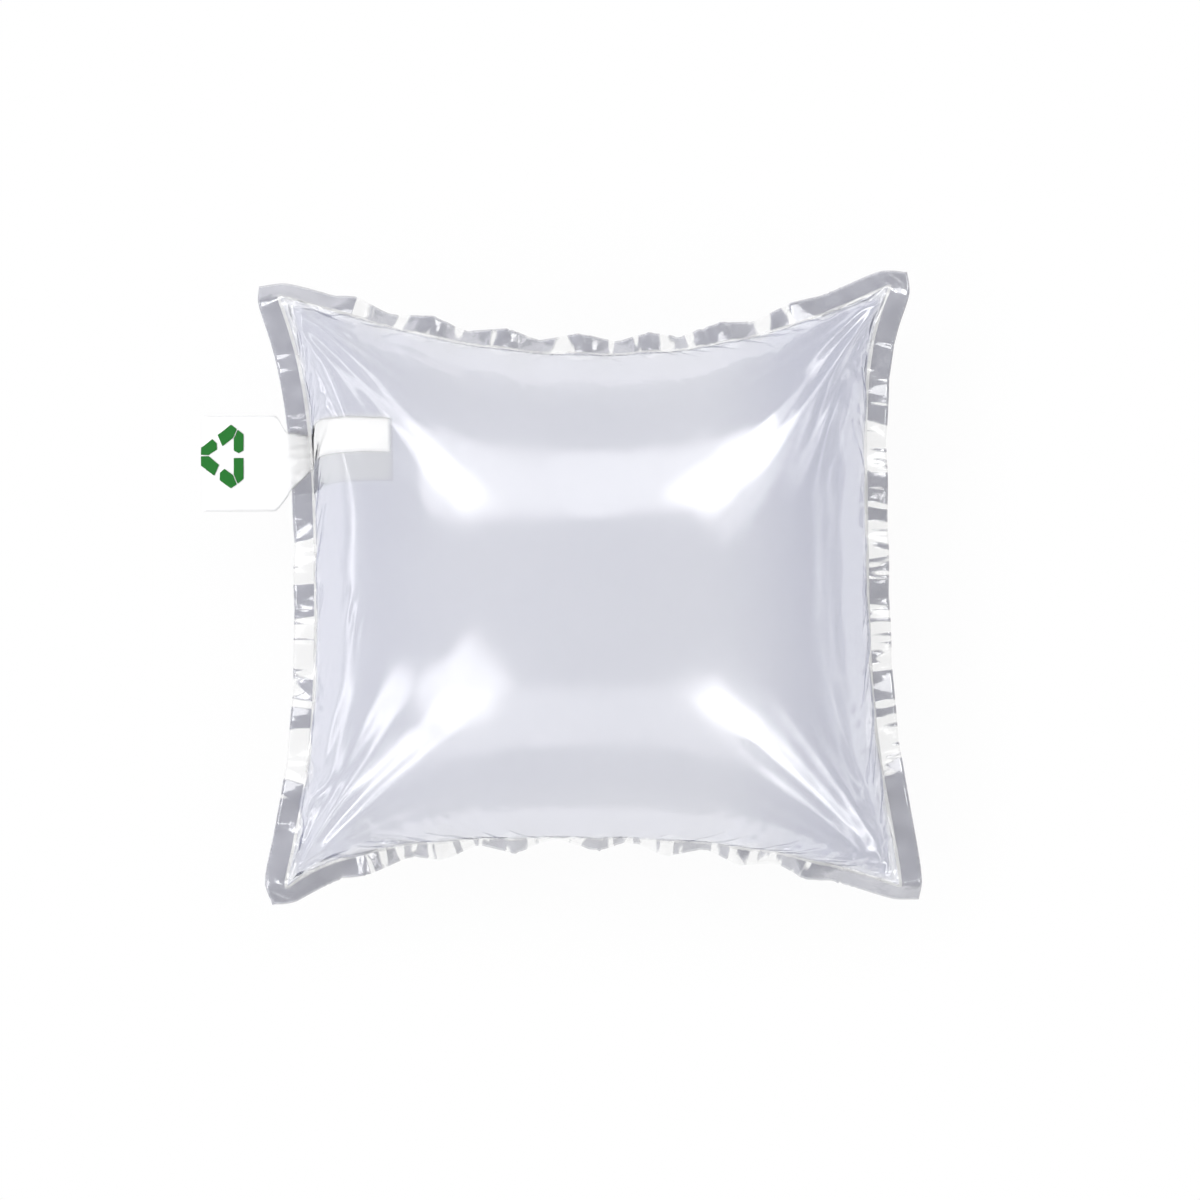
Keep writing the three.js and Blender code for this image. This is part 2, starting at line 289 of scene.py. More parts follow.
def tucks(side, t):
    """The tucks of a side as a wave along it: one round bump for each, up and down by turns."""
    first, last = side.gather
    pitch = (last - first) / side.tucks
    wave = np.zeros_like(t)
    for i in range(side.tucks):
        centre = first + pitch * (i + 0.5 + TUCK_STRAY * (chance(side.seed + i) - 0.5))
        half = pitch * (TUCK_HALF + TUCK_HALF_SPREAD * chance(side.seed + HALF_SEED + i))
        height = TUCK_HEIGHT + TUCK_HEIGHT_SPREAD * chance(side.seed + HEIGHT_SEED + i)
        wave += (-height if i % 2 else height) * bump((t - centre) / half)
    return wave


def tuck_lift(a, b):
    """How far the tucks lift the films: most at the weld, dying away into the dome."""
    lifts = [
        tucks(side, t) * np.exp(-np.maximum(inside, 0) / LIFT_REACH)
        for side, t, inside in sides_near(a, b)
    ]
    return TUCK_LIFT * sum(lifts)


def tuck_fold(a, b):
    """How deep the tucks fold the dome: nothing at the weld, most at TUCK_REACH from it."""
    fold = np.zeros_like(a)
    for side, t, inside in sides_near(a, b):
        x = np.maximum(inside, 0) / TUCK_REACH
        fold += tucks(side, t) * x * np.exp(1 - x)
    return TUCK_DEPTH * fold


def crease_ridge(a, b):
    """The ridges that fan out from the nearest corner of the chamber, each a round bump across its
    own direction that rises near the corner and fades along its length."""
    reach, angle = from_corner(a, b)
    corner = np.where(a > 0, 1, 0) + np.where(b > 0, 2, 0)
    ridge = np.zeros_like(a)
    for i in range(CREASES):
        seed = CREASE_SEED + 10 * corner + i
        place = (i + 0.5 + CREASE_STRAY * (chance(seed) - 0.5)) / CREASES
        centre = np.pi / 2 * (CREASES_FROM + CREASES_OVER * place)
        length = CREASE_LENGTH * (CREASE_SHARE + CREASE_SHARE_SPREAD * chance(seed + LENGTH_SEED))
        along = smooth(reach, *CREASE_RISE) * (1 - smooth(reach / length, *CREASE_FADE))
        ridge += along * bump((angle - centre) / CREASE_HALF_ANGLE)
    return CREASE_DEPTH * ridge


# The films as laid out, before they are let fill


def square_to(surface, a, b):
    """A unit vector square to a surface, from the slopes half a cell to each side."""
    step = CELL / 2
    along_a = surface(a + step, b) - surface(a - step, b)
    along_b = surface(a, b + step) - surface(a, b - step)
    return unit(np.cross(along_a, along_b))


def turned_back(side, t):
    """How far the band of a side turns back: its middle curl under a round bump, and along the rest a
    straight change from the curl at its start to the one at its end."""
    start, middle, end = side.curl
    return mix(mix(start, end, t), middle, bump(2 * t - 1))


def band(a, b):
    """The middle of the welded band: out from the weld line, tilted by its curl and its tucks."""
    u = np.clip(a / HALF_WIDTH, -1, 1)
    v = np.clip(b / HALF_HEIGHT, -1, 1)
    height = WELD_LEVEL + tuck_lift(a, b)
    point = np.concatenate([in_plan(u, v), along_last(height)], axis=-1)
    for side, t, inside in sides_near(a, b):
        over = np.maximum(-inside, 0)
        tilt = TUCK_FLARE * tucks(side, t) - turned_back(side, t)
        point[..., :2] += along_last(over * np.cos(tilt)) * outward(side, t)
        point[..., 2] += over * np.sin(tilt)
    return point


VALVE_PASSES = (1, 9)  # beside the sleeve, where the films close up again


def parting(a, b):
    """How far each film stands off the weld's middle: half a ply, and one more where the valve is."""
    y = weld_line(LEFT, (np.clip(b / HALF_HEIGHT, -1, 1) + 1) / 2)[..., 1]
    aside = np.abs(y - VALVE_CENTRE) - SLEEVE_WIDTH / 2
    passing = np.where(a < 0, 1 - smooth(aside, *VALVE_PASSES), 0)
    return PLY / 2 + PLY * passing


def laid_film(a, b, face):
    """A film's middle: outside the weld line the band, and inside it the dome with its folds."""
    outside = outside_weld(a, b)
    off_band = square_to(band, a, b) * along_last(
        face * parting(a, b) * np.exp(np.minimum(outside, 0) / LIFT_REACH)
    )
    on_band = band(a, b)
    smooth_dome = dome(a, b, face)
    out = square_to(lambda x, y: dome(x, y, face), a, b) * face
    on_dome = smooth_dome + out * along_last(face * tuck_fold(a, b) + crease_ridge(a, b))
    on_dome[..., 2] += tuck_lift(a, b)
    return np.where(along_last(outside > 0), on_band, on_dome) + off_band


# Letting the bag fill: the two films as nets of threads that hardly stretch, pushed out by air. The
# laid shape is a little too short for its film, and a thread gets back a share of what it lacks: all
# of it along the welds, which gathers them, little in the dome, and more in the corners.

ROUNDS = 100
SWEEPS = 3  # over all the threads, in each round
AIR_PUSH = 0.0025
COASTING = 0.6  # share of a round's movement that goes on in the next
SOFTENING = 0.03
TIE = 0.4  # how firmly the weld line keeps its place in plan, and how loosely in height
TIE_IN_HEIGHT = 0.01
CORNER_HOLD = (12, 26)  # near a corner the whole weld nearly keeps its place, in height too
CORNER_TIE = 0.4  # how firmly, out of TIE
DOME_SLACK = 0.08
CORNER_SLACK = 0.16
CORNER_REACH = (30, 110)
WELD_SLACK_REACH = 11


def thread_slack(a, b):
    """The share of its lack that each place gets back, for threads along a and for threads along b."""
    reach = from_corner(a, b)[0]
    in_dome = DOME_SLACK + CORNER_SLACK * (1 - smooth(reach, *CORNER_REACH))
    by_top = np.exp(np.minimum(np.abs(b) - HALF_HEIGHT, 0) / WELD_SLACK_REACH)
    by_side = np.exp(np.minimum(np.abs(a) - HALF_WIDTH, 0) / WELD_SLACK_REACH)
    return mix(in_dome, 1, by_top), mix(in_dome, 1, by_side)


def threads(films, slack_a, slack_b):
    """The links of the net, as pairs of slices with their true lengths: along each way and both
    diagonals, by turns, so that no two links of one pair of slices share a point."""
    every, low, high = slice(None), slice(0, -1), slice(1, None)
    both = (slack_a + slack_b) / 2
    pairs = []
    for start in (0, 1):
        lower, upper = slice(start, -1, 2), slice(start + 1, None, 2)
        pairs.append(((every, every, lower), (every, every, upper), CELL, slack_a))
        pairs.append(((every, lower, every), (every, upper, every), CELL, slack_b))
        pairs.append(((every, lower, low), (every, upper, high), CELL * math.sqrt(2), both))
        pairs.append(((every, lower, high), (every, upper, low), CELL * math.sqrt(2), both))
    links = []
    for first, second, flat, slack in pairs:
        laid = np.linalg.norm(films[second] - films[first], axis=-1, keepdims=True)
        share = along_last(slack[first[1:]] + slack[second[1:]]) / 2
        links.append((first, second, mix(np.minimum(laid, flat), flat, share)))
    return links


def pull(films, first, second, length):
    """Moves two arrays of linked points to their true distance, half each."""
    apart = films[second] - films[first]
    distance = np.sqrt((apart * apart).sum(axis=-1, keepdims=True))
    shift = apart * (0.5 - 0.5 * length / np.maximum(distance, TINY))
    films[first] += shift
    films[second] -= shift


def air_direction(films):
    """The vectors square to both films, out of the chamber, longer where a cell is larger."""
    along_a = np.zeros_like(films)
    along_b = np.zeros_like(films)
    along_a[:, :, 1:-1] = (films[:, :, 2:] - films[:, :, :-2]) / 2
    along_b[:, 1:-1] = (films[:, 2:] - films[:, :-2]) / 2
    square = np.cross(along_a, along_b) / CELL ** 2
    square[1] *= -1
    return square


def bending(films):
    """How far each point lies from the middle of its neighbours."""
    bent = np.zeros_like(films)
    bent[:, :, 1:-1] += films[:, :, :-2] + films[:, :, 2:] - 2 * films[:, :, 1:-1]
    bent[:, 1:-1] += films[:, :-2] + films[:, 2:] - 2 * films[:, 1:-1]
    return bent


def let_fill(films, a, b):
    """Presses the films out with air and holds every thread near its true length, many times over.
    The weld keeps both films together, and its line stays near its place in plan."""
    outside = outside_weld(a, b)
    welded = outside > -CELL / 2
    pressed = along_last(~welded) * AIR_PUSH
    home = films.mean(axis=0)[welded]
    apart = (films[0] - films[1])[welded] / 2
    corner = along_last(1 - smooth(from_corner(a, b)[0], *CORNER_HOLD))
    on_line = along_last(np.abs(outside) < CELL / 2) * np.array([1, 1, TIE_IN_HEIGHT])
    tie = (TIE * np.maximum(on_line, corner * CORNER_TIE))[welded]
    links = threads(films, *thread_slack(a, b))
    before = films
    for _ in range(ROUNDS):
        moved = films - before
        before = films
        films = films + moved * COASTING + air_direction(films) * pressed
        for first, second, length in links * SWEEPS:
            pull(films, first, second, length)
        films += bending(films) * SOFTENING
        middle = (films[0] + films[1])[welded] / 2
        middle += (home - middle) * tie
        films[0][welded] = middle + apart
        films[1][welded] = middle - apart
        films[..., 2] = np.maximum(films[..., 2], FILM)
    return films


def flat_net():
    """The places of the net's points on the flat bag, as two arrays with a row for each height."""
    columns = round((CHAMBER_WIDTH + 2 * WELD_WIDTH) / CELL)
    rows = round((CHAMBER_HEIGHT + 2 * WELD_WIDTH) / CELL)
    a = np.linspace(-HALF_WIDTH - WELD_WIDTH, HALF_WIDTH + WELD_WIDTH, columns + 1)
    b = np.linspace(-HALF_HEIGHT - WELD_WIDTH, HALF_HEIGHT + WELD_WIDTH, rows + 1)
    return np.meshgrid(a, b)


def fan_folds(a, b):
    """Fine folds that fan out from the nearest corner of the chamber: waves in the angle about it, in
    height a small share of the distance from it, that fade in and out along their length."""
    reach, angle = from_corner(a, b)
    first, second = FAN_WAVES
    turned = FAN_TURNS[0] * np.sign(a) + FAN_TURNS[1] * np.sign(b)
    waves = np.sin(first * angle + turned) + FAN_SECOND * np.sin(second * angle + 3 * turned)
    along = smooth(reach, *FAN_RISE) * (1 - smooth(reach, *FAN_FADE))
    return FAN_SHARE * reach * waves * along * smooth(-outside_weld(a, b), *FAN_FROM_WELD)


def filled_films():
    """Both films' grids of points, the front one first, with the places of the points on the flat bag."""
    a, b = flat_net()
    films = np.stack([laid_film(a, b, 1), laid_film(a, b, -1)])
    films[..., 2] = np.maximum(films[..., 2], FILM)
    films = let_fill(films, a, b)
    films += air_direction(films) * along_last(fan_folds(a, b))
    films[..., 2] = np.maximum(films[..., 2], FILM)
    return a, b, films


# Meshes


def sheet_mesh(name, points, turned, materials, patch=None, shares=None, weld_place=None):
    """A sheet from a grid of points in millimetres: one face for each cell of the grid. turned makes
    its faces look the other way, and patch gives the number of each cell's material. shares holds
    named numbers for the points, and weld_place a pair for each corner of each cell."""
    rows, columns = points.shape[:2]
    index = np.arange(rows * columns).reshape(rows, columns)
    corners = [index[:-1, :-1], index[:-1, 1:], index[1:, 1:], index[1:, :-1]]
    if turned:
        corners.reverse()
    faces = np.stack(corners, axis=-1).reshape(-1, 4)
    mesh = bpy.data.meshes.new(name)
    mesh.from_pydata((points * MM).reshape(-1, 3), [], faces.tolist())
    mesh.polygons.foreach_set("use_smooth", np.ones(len(faces), dtype=bool))
    if patch is not None:
        mesh.polygons.foreach_set("material_index", patch.astype(np.int32).ravel())
    for title, share in (shares or {}).items():
        mesh.attributes.new(title, "FLOAT", "POINT").data.foreach_set("value", share.ravel())
    if weld_place is not None:
        order = slice(None, None, -1) if turned else slice(None)
        mesh.uv_layers.new(name="weld_place").data.foreach_set("uv", weld_place[..., order, :].ravel())
    for material in materials:
        mesh.materials.append(material)
    piece = bpy.data.objects.new(name, mesh)
    bpy.context.collection.objects.link(piece)
    return piece


def thicken(piece, thickness):
    """Gives a sheet its two skins and its edges, evenly to both sides. The skin at its back and the
    thin edges take the sheet's last material."""
    wall = piece.modifiers.new("film", "SOLIDIFY")
    wall.thickness = thickness * MM
    wall.offset = 0
    wall.material_offset = wall.material_offset_rim = len(piece.data.materials) - 1
    return piece


INSIDE_LAST_CELL = 1.001


def place_on(grid, a, b):
    """The point of a film at a place of the flat bag, between the four net points round it."""
    rows, columns = grid.shape[:2]
    x = np.clip((a + HALF_WIDTH + WELD_WIDTH) / CELL, 0, columns - INSIDE_LAST_CELL)
    y = np.clip((b + HALF_HEIGHT + WELD_WIDTH) / CELL, 0, rows - INSIDE_LAST_CELL)
    i, j = x.astype(int), y.astype(int)
    s, t = along_last(x - i), along_last(y - j)
    low = mix(grid[j, i], grid[j, i + 1], s)
    high = mix(grid[j + 1, i], grid[j + 1, i + 1], s)
    return mix(low, high, t)


# Materials


def plastic(name, colour, alpha, roughness, gloss=(1.5, 0.5)):
    """A plain glossy plastic. Uniform numbers are set on the shader's own sockets."""
    material = bpy.data.materials.new(name)
    material.use_nodes = True
    shader = material.node_tree.nodes["Principled BSDF"]
    shader.inputs["Base Color"].default_value = (*colour, 1)
    shader.inputs["Alpha"].default_value = alpha
    shader.inputs["Roughness"].default_value = roughness
    shader.inputs["IOR"].default_value, shader.inputs["Specular IOR Level"].default_value = gloss
    return material


def add(material, kind, **values):
    """A new node. Each value is the setting of an input by its name, or a link from an output."""
    node = material.node_tree.nodes.new("ShaderNode" + kind)
    for title, value in values.items():
        socket = node.inputs[title.replace("_", " ")]
        if isinstance(value, bpy.types.NodeSocket):
            material.node_tree.links.new(value, socket)
        else:
            socket.default_value = value
    return node


def into(material, socket, output):
    """Links an output to an input of the material's own shader."""
    shader = material.node_tree.nodes["Principled BSDF"]
    material.node_tree.links.new(output, shader.inputs[socket])


def noise(material, wave, detail=2.0, stretch=(1, 1, 1)):
    """A noise over the piece's own place, in waves of a length in millimetres."""
    place = add(material, "TexCoord").outputs["Object"]
    stretched = add(material, "Mapping", Vector=place, Scale=stretch).outputs["Vector"]
    node = add(material, "TexNoise", Vector=stretched, Scale=1 / (wave * MM), Detail=detail)
    return node.outputs["Fac"]


def spread(material, value, limits, to):
    """Maps a value between two limits to two others, and holds it there outside them."""
    node = add(material, "MapRange", Value=value)
    for title, number in zip(("From Min", "From Max", "To Min", "To Max"), (*limits, *to)):
        node.inputs[title].default_value = number
    return node.outputs["Result"]


def combine(material, operation, first, second, kind="Math", result=0):
    """The sum, product or the like of two numbers, two vectors or two links."""
    node = material.node_tree.nodes.new("ShaderNode" + kind)
    node.operation = operation
    for socket, value in zip(node.inputs, (first, second)):
        if isinstance(value, bpy.types.NodeSocket):
            material.node_tree.links.new(value, socket)
        else:
            socket.default_value = value
    return node.outputs[result]


def blend_colours(material, share, first, second):
    """The colour that lies by a share between two, which are colours or links."""
    node = material.node_tree.nodes.new("ShaderNodeMix")
    node.data_type = "RGBA"
    material.node_tree.links.new(share, node.inputs["Factor"])
    for socket, colour in ((node.inputs[6], first), (node.inputs[7], second)):
        if isinstance(colour, bpy.types.NodeSocket):
            material.node_tree.links.new(colour, socket)
        else:
            socket.default_value = (*colour, 1)
    return node.outputs[2]


def relief(material, height, depth, strength):
    """Fine relief from a height between 0 and 1, depth in millimetres."""
    bumped = add(material, "Bump", Height=height, Distance=depth * MM, Strength=strength)
    into(material, "Normal", bumped.outputs["Normal"])
    return material


def named_share(material, title):
    """A share that the piece holds for its points under a name."""
    node = material.node_tree.nodes.new("ShaderNodeAttribute")
    node.attribute_name = title
    return node.outputs["Fac"]


FILM_GLOSS = (2.6, 1.0)  # refractive index and specular level
FILM_ROUGHNESS = (0.09, 0.22)
FILM_TINT, FILM_TINT_PALE = (0.43, 0.46, 0.70), (0.52, 0.55, 0.77)
# The palest tint is painted light: a painted highlight beside the weld, and paler film over the sleeve.
PAINTED_LIGHT_TINT = (0.84, 0.87, 1.0)
WELD_TINT, WELD_TINT_PALE = (0.31, 0.32, 0.42), (0.50, 0.51, 0.62)
# The pleats' white is partly stress-whitened film and partly painted glints.
# The seam's white is partly heat-whitened film and partly a painted highlight.
PLEAT_WHITENING_AND_GLINT, SEAM_WHITE_AND_HIGHLIGHT = (0.97, 0.97, 0.98), (0.98, 0.98, 0.99)
COAT_WHITE, INK_GREEN = (0.98, 0.98, 0.985), (0.018, 0.175, 0.026)

# How much light a film stops, both its skins together
CLEAR, HAZY, VALVE_HAZY = 0.02, 0.46, 0.03
FLAT_WELD, PLEATED_WELD = 0.60, 0.12
SEAM_VEIL = (0.25, 0.70)

ALL = (0, 1)
NOISE_SPAN = (0.35, 0.65)  # where most values of a noise lie

# Pleats of the weld: how far they lean, how long they are out of their width, the height of the
# noise that stays bare where the weld is flat and where it is gathered, and the pleats' soft edge.
# Their white is partly stress-whitened film and partly painted glints.
PLEAT_LEAN = 0.45
PLEAT_NARROWING = 0.35
BARE = (0.80, 0.36)
PLEAT_EDGE = (-0.012, 0.03)
PLEAT_HEIGHT = 0.6


def inner_skin():
    """The back skin of a clear film lets all light through, because its front skin stands for both."""
    return plastic("inner_skin", (1, 1, 1), alpha=0.0, roughness=0.5)


def clear_film():
    """The film of the chamber. It is hazy, but not where it lies wet on the valve's white coat."""
    film = plastic("clear_film", FILM_TINT, alpha=HAZY, roughness=0.12, gloss=FILM_GLOSS)
    # The haze share is heavier towards the flanks, darkening them as painted shade.
    into(film, "Alpha", spread(film, named_share(film, "haze"), ALL, (CLEAR, HAZY)))
    into(film, "Roughness", spread(film, noise(film, wave=50, detail=3), (0.3, 0.7), FILM_ROUGHNESS))
    cloud = spread(film, noise(film, wave=120), NOISE_SPAN, ALL)
    tint = blend_colours(film, cloud, FILM_TINT, FILM_TINT_PALE)
    # The pale share paints light: a highlight beside the weld and paler film over the sleeve.
    into(film, "Base Color", blend_colours(film, named_share(film, "pale"), tint, PAINTED_LIGHT_TINT))
    ripples = noise(film, wave=75, detail=2, stretch=(1.5, 0.7, 1))
    return relief(film, ripples, depth=2.2, strength=0.5)


def pleat_whitening_and_glints(film):
    """The pleats that the gathered weld has across it: stripes of a noise that is long across the
    band, leaning both ways, and the wider the more the weld is gathered there. The stripes are white,
    partly for stress-whitened film and partly as painted glints."""
    place = film.node_tree.nodes.new("ShaderNodeUVMap")
    place.uv_map = "weld_place"
    bare = spread(film, named_share(film, "gathered"), ALL, BARE)
    longer = (1, PLEAT_NARROWING, 1)
    stripes = []
    for lean in (-PLEAT_LEAN, PLEAT_LEAN):
        leaning = add(film, "Mapping", Vector=place.outputs["UV"], Rotation=(0, 0, lean), Scale=longer)
        waves = add(film, "TexNoise", Vector=leaning.outputs["Vector"], Scale=1.0, Detail=1.0)
        above = combine(film, "SUBTRACT", waves.outputs["Fac"], bare)
        stripes.append(spread(film, above, PLEAT_EDGE, ALL))
    return combine(film, "MAXIMUM", *stripes)


def welded_film():
    """The band: mottled grey where it lies flat, and white along its pleats, where the white is
    partly stress-whitened film and partly painted glints.
    """
    film = plastic("welded_film", WELD_TINT, alpha=FLAT_WELD, roughness=0.18, gloss=FILM_GLOSS)
    pleats = pleat_whitening_and_glints(film)
    mottling = spread(film, noise(film, wave=9, detail=3), (0.35, 0.7), ALL)
    mottled = blend_colours(film, mottling, WELD_TINT, WELD_TINT_PALE)
    into(film, "Base Color", blend_colours(film, pleats, mottled, PLEAT_WHITENING_AND_GLINT))
    veil = spread(film, pleats, ALL, (FLAT_WELD, PLEATED_WELD))
    haze = spread(film, named_share(film, "haze"), ALL, (CLEAR, 1))
    into(film, "Alpha", combine(film, "MULTIPLY", veil, haze))
    raised = combine(film, "MULTIPLY", pleats, PLEAT_HEIGHT)
    return relief(film, combine(film, "ADD", raised, noise(film, wave=6)), depth=0.5, strength=0.6)


def weld_edge_and_highlight():
    """The thin white line along the weld: partly film turned white by the heat of the seal, and partly
    a painted highlight where the film bends at the weld.
    """
    film = plastic("weld_edge_and_highlight", SEAM_WHITE_AND_HIGHLIGHT, alpha=0.6, roughness=0.2, gloss=FILM_GLOSS)
    into(film, "Alpha", spread(film, noise(film, wave=14), NOISE_SPAN, SEAM_VEIL))
    return film


def valve_film():
    """The valve's thin clear film, a little rippled."""
    film = plastic("valve_film", (0.94, 0.95, 0.98), alpha=VALVE_HAZY, roughness=0.15, gloss=(2.0, 1.0))
    into(film, "Alpha", spread(film, named_share(film, "haze"), ALL, (CLEAR, VALVE_HAZY)))
    return relief(film, noise(film, wave=17), depth=0.5, strength=0.4)


def white_coat():
    """The satin white coat between the valve's films."""
    coat = plastic("white_coat", COAT_WHITE, alpha=0.99, roughness=0.4)
    return relief(coat, noise(coat, wave=11), depth=0.2, strength=0.4)


def green_ink():
    """Matt printing ink, slightly uneven."""
    ink = plastic("green_ink", INK_GREEN, alpha=1.0, roughness=0.6, gloss=(1.5, 0.2))
    return relief(ink, noise(ink, wave=3.5), depth=0.1, strength=0.4)


# The bag's films

SEAM_CELLS = 1  # the weld's white inner edge, partly a painted highlight, is this many cells wide
CLOUDY_FROM = (45, 115)  # how far from the middle the film clouds over, darkening its flanks as painted shade
# Shares of the full haze: over the middle, and at the left flank. Haze on the flanks is painted shade.
CLEAREST, LEFT_SHADED_HAZE = 0.62, 0.76
SLEEVE_PAINTED_LIGHT = 0.8  # how much paler the film is painted where it lies on the sleeve: painted light
SEAM_PAINTED_HIGHLIGHT, SEAM_CLEAR = 0.7, 0.45  # how much paler, as a painted highlight, and clearer it is right beside the weld
SEAM_REACH = (1, 7)
COAT_EDGE, SLEEVE_EDGE = (-1, 0.6), (-0.5, 1)  # how softly the film shows their outlines
UPRIGHT_PLEATS = 200  # keeps the pleats of the upright sides unlike those of the other two

# Along a side the gathering starts and stops within these shares of it, and is uneven in waves
GATHER_ENDS = (0.02, 0.05)
GATHER_EVEN, GATHER_UNEVEN, GATHER_WAVES = 0.85, 0.3, 37


def cell_corners(grid):
    """The values of a grid at the four corners of each cell, in the order of its face."""
    return np.stack([grid[:-1, :-1], grid[:-1, 1:], grid[1:, 1:], grid[1:, :-1]], axis=-1)


def weld_map(a, b):
    """Where each corner of each cell lies on the weld: how many pleats along its side, and how many
    welds out from the chamber. Each cell belongs to the side that it is furthest out of."""
    beyond = [np.abs(cell_corners(a)) - HALF_WIDTH, np.abs(cell_corners(b)) - HALF_HEIGHT]
    by_width = (beyond[0].mean(axis=-1) > beyond[1].mean(axis=-1))[..., None]
    pleat_up = np.where(cell_corners(a) > 0, RIGHT.pleat, LEFT.pleat)
    pleat_across = np.where(cell_corners(b) > 0, TOP.pleat, BOTTOM.pleat)
    upright = UPRIGHT_PLEATS + cell_corners(b) / pleat_up
    along = np.where(by_width, upright, cell_corners(a) / pleat_across)
    out = np.where(by_width, beyond[0], beyond[1]) / WELD_WIDTH
    return np.stack([along, out], axis=-1)


def gathered_share(a, b):
    """How much each place of the weld is pleated: nothing near the corners of the bag."""
    share = np.zeros_like(a)
    before, after = GATHER_ENDS
    for side, t, inside in sides_near(a, b):
        first, last = side.gather
        starting = smooth(t, first - before, first + after)
        stopping = 1 - smooth(t, last - after, last + before)
        uneven = GATHER_EVEN + GATHER_UNEVEN * np.sin(GATHER_WAVES * t + side.seed)
        share = np.where(inside < CELL / 2, side.pleated * starting * stopping * uneven, share)
    return share


def over_coat(p, up):
    """1 over the valve's white coat, 0 elsewhere. p is the distance inwards from the weld line, and up
    the distance off the valve's centreline."""
    lower, upper = coat_edges(p)
    across = smooth(up - lower, *COAT_EDGE) * smooth(upper - up, *COAT_EDGE)
    return across * smooth(COAT_LENGTH - p, *COAT_EDGE)


def over_sleeve(p, up):
    """1 over the valve's sleeve, where the film lies on it, and 0 elsewhere."""
    across = smooth(SLEEVE_WIDTH / 2 - np.abs(up), *SLEEVE_EDGE)
    return across * smooth(SLEEVE_LENGTH - p, *SLEEVE_EDGE) * smooth(p, 0, 1)


def haze_and_painted_shade(a):
    """How hazy the chamber film is, out of 1: clearest over the middle, and cloudier towards the two
    sides, the right one most. The haze darkens the film there: painted shade on its flanks."""
    toward_side = smooth(np.abs(a), *CLOUDY_FROM)
    return mix(CLEAREST, np.where(a > 0, 1, LEFT_SHADED_HAZE), toward_side)


def film_shares(a, b):
    """What the finish needs to know at each point of the front and the back film: how hazy it is, where
    more haze towards the sides is painted shade, how pale, where paler is a painted highlight beside the
    weld and painted light over the sleeve, and how gathered. The front one shows the valve under it."""
    inward = a + HALF_WIDTH
    up = (b - VALVE_B) / HALF_HEIGHT * (TOP_LEFT[1] - BOTTOM_LEFT[1]) / 2
    on_weld = outside_weld(a, b) > -CELL / 2
    beside_seam = 1 - smooth(-outside_weld(a, b), *SEAM_REACH)
    # More haze towards the sides darkens the film there: painted shade.
    haze = np.where(on_weld, 1, haze_and_painted_shade(a) * (1 - SEAM_CLEAR * beside_seam))
    # Paler right beside the weld: a painted highlight.
    pale = SEAM_PAINTED_HIGHLIGHT * beside_seam
    gathered = gathered_share(a, b)
    front_haze = haze * (1 - over_coat(inward, up))
    # Paler over the sleeve: painted light.
    front_painted_light = np.maximum(SLEEVE_PAINTED_LIGHT * over_sleeve(inward, up), pale)
    return [
        {"haze": front_haze, "pale": front_painted_light, "gathered": gathered},
        {"haze": haze, "pale": pale, "gathered": gathered},
    ]


def bag_films(films, a, b):
    """The two films, each with its chamber part, its weld edge and its welded band."""
    outside = outside_weld((a[:-1, :-1] + a[1:, 1:]) / 2, (b[:-1, :-1] + b[1:, 1:]) / 2)
    patch = np.where(outside < 0, 0, np.where(outside < SEAM_CELLS * CELL, 1, 2))
    materials = [clear_film(), weld_edge_and_highlight(), welded_film(), inner_skin()]
    place = weld_map(a, b)
    for name, points, shares in zip(("front_film", "back_film"), films, film_shares(a, b)):
        sheet = sheet_mesh("bag_" + name, points, name == "back_film", materials, patch, shares, place)
        piece = thicken(sheet, FILM)
        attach(piece, "root")
        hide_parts(name)


# The valve

VALVE_B = (2 * (VALVE_CENTRE - BOTTOM_LEFT[1]) / (TOP_LEFT[1] - BOTTOM_LEFT[1]) - 1) * HALF_HEIGHT
VALVE_END = -(WELD_WIDTH + TAB_LENGTH)
VALVE_STEPS = 124
VALVE_COLUMNS = 36
SLOPE_STEP = 2


def on_sleeve(front, p, q, ply):
    """The sleeve hangs under the front film: p runs along it, inwards from the weld line, and q
    across it from -1 to 1. ply is 1 for its front film and 2 for its back film."""
    a = p - HALF_WIDTH
    b = VALVE_B + q * SLEEVE_WIDTH / (TOP_LEFT[1] - BOTTOM_LEFT[1]) * HALF_HEIGHT
    along_a = place_on(front, a + SLOPE_STEP, b) - place_on(front, a - SLOPE_STEP, b)
    along_b = place_on(front, a, b + SLOPE_STEP) - place_on(front, a, b - SLOPE_STEP)
    swollen = 1 + SLEEVE_SWELL * bump(p / SWELL_REACH)
    depth = ply * PLY * swollen + SLEEVE_SLACK * smooth(p, *SLACK_FROM)
    return place_on(front, a, b) - unit(np.cross(along_a, along_b)) * along_last(depth)


def on_valve(front, p, q, ply):
    """The sleeve, and outside the welded band the tab: it spreads to its full width over the
    shoulder, lies flat and droops, and its two films part a little at the mouth."""
    out = np.maximum(-WELD_WIDTH - p, 0)
    share = out / TAB_LENGTH
    flattened = smooth(out, 0, SHOULDER)
    sleeve = on_sleeve(front, np.maximum(p, -WELD_WIDTH), q, ply)
    middle = on_sleeve(front, np.array(-float(WELD_WIDTH)), np.array(0.0), ply)
    sleeve[..., ::2] = mix(sleeve[..., ::2], middle[::2], along_last(flattened))
    widened = mix(1, TAB_WIDTH / SLEEVE_WIDTH, flattened)
    opening = (1 if ply < MIDDLE_PLY else -1) * MOUTH_OPENING * (1 - q * q)
    x = sleeve[..., 0] - out
    y = VALVE_CENTRE + (sleeve[..., 1] - VALVE_CENTRE) * widened
    z = sleeve[..., 2] + (opening - TAB_DROOP) * share ** 2
    return np.stack([x, y, z], axis=-1)


